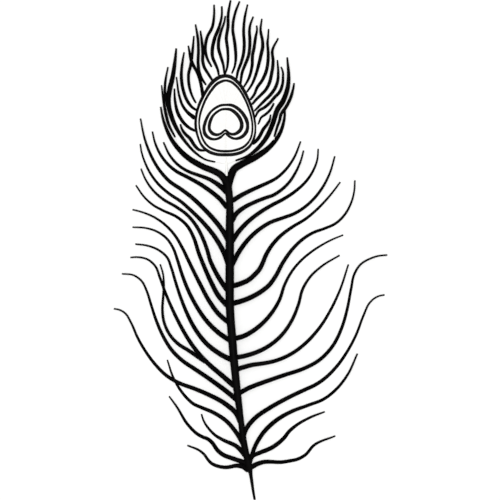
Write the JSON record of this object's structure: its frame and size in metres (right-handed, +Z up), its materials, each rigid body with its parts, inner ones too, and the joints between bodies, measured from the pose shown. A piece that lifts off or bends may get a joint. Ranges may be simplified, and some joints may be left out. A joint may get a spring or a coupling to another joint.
{
  "type": "peacock feather",
  "caption": "Peacock feather that lies flat: tapering shaft, loose wavy barbs on both sides and a closed egg-shaped eye vane in a fan of fine barbs.",
  "frame": {"origin": "bottom centre of the feather's bounding box, on the surface it lies on", "axes": "+Y from the quill tip towards the crown of the eye, +X to the right seen from above, +Z up from the surface it lies on"},
  "size_m": [0.1914, 0.35, 0.0068],
  "materials": {
    "barbs": "soft near-black keratin barbs with a faint sheen",
    "shaft": "smooth satin near-black keratin, finely grooved lengthwise",
    "eye_vane": "close-knit white barbs with near-black ring markings",
    "pale_roots": "slim bare ivory keratin, at the shaft's end and the roots of some crown barbs"
  },
  "bodies": {
    "root": {"feather": "barbs"}
  },
  "joints": []
}
